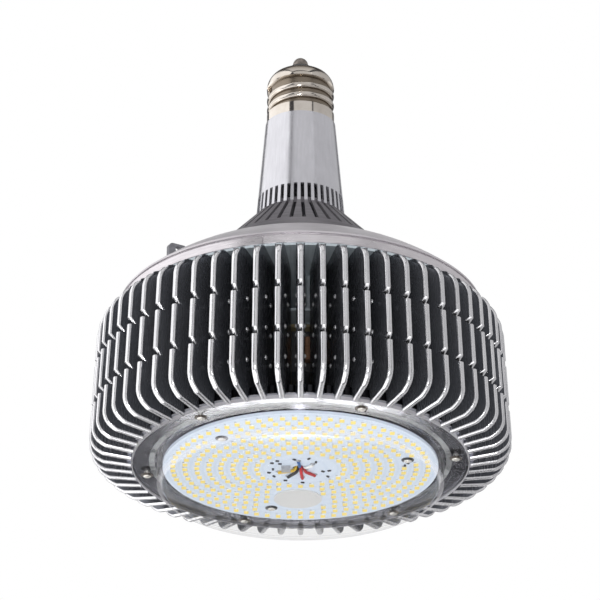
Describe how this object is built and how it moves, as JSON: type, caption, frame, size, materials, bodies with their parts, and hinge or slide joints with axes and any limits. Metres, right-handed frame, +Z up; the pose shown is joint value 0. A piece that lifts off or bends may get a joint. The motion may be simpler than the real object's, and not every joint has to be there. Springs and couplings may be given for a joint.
{
  "type": "high bay led retrofit lamp",
  "caption": "Screw-in high bay LED lamp: vented tapered neck, domed cover, ring of folded aluminium cooling fins and a round clear lens over the LED board.",
  "frame": {"origin": "centre of the lens's flat lower face, on the lamp's axis", "axes": "+Z up the axis from the lens to the screw base; -Y is the side seen in the picture"},
  "size_m": [0.234, 0.234, 0.2734],
  "materials": {
    "clear_lens": "clear polycarbonate, polished",
    "bright_screw": "plated, bright",
    "grey_seal": "matt silicone",
    "white_board": "white solder mask",
    "frosted_blank": "frosted",
    "bright_aluminium": "turned, semi-bright",
    "fin_aluminium": "bright rolled sheet",
    "dull_aluminium": "dull sheet",
    "cover_lacquer": "satin light grey",
    "hoop_aluminium": "satin",
    "cone_lacquer": "satin dark grey",
    "neck_lacquer": "satin grey",
    "nickel_shell": "nickel plate",
    "dark_insulator": "glossy dark glass-like",
    "contact_brass": "tarnished",
    "tan_board": "laminate",
    "dark_ferrite": "sintered",
    "copper_winding": "enamelled copper wire",
    "capacitor_sleeve": "shrink sleeve",
    "beige_casing": "moulded",
    "lead_insulation": "insulated wire",
    "wire_insulation": "insulated wire, several colours in the visual model",
    "grey_casing": "moulded"
  },
  "bodies": {
    "root": {"lens": "clear_lens", "lens_screws": "bright_screw", "lens_gasket": "grey_seal", "led_board": "white_board", "board_screws": "bright_screw", "sensor_blank": "frosted_blank", "base_plate": "bright_aluminium", "cooling_fins": "fin_aluminium", "tie_ring": "dull_aluminium", "carrier_plate": "dull_aluminium", "top_cover": "cover_lacquer", "rim_hoop": "hoop_aluminium", "safety_lug": "dull_aluminium", "vent_cone": "cone_lacquer", "neck_housing": "neck_lacquer", "screw_shell": "nickel_shell", "base_insulator": "dark_insulator", "centre_contact": "contact_brass", "driver_plate": "dull_aluminium", "plate_posts": "dull_aluminium", "driver_circuit": "tan_board", "circuit_spacers": "dull_aluminium", "transformer_core": "dark_ferrite", "transformer_winding": "copper_winding", "driver_capacitors": "capacitor_sleeve", "film_boxes": "beige_casing", "supply_leads": "lead_insulation", "board_wires": "wire_insulation", "led_connector": "grey_casing"}
  },
  "joints": []
}
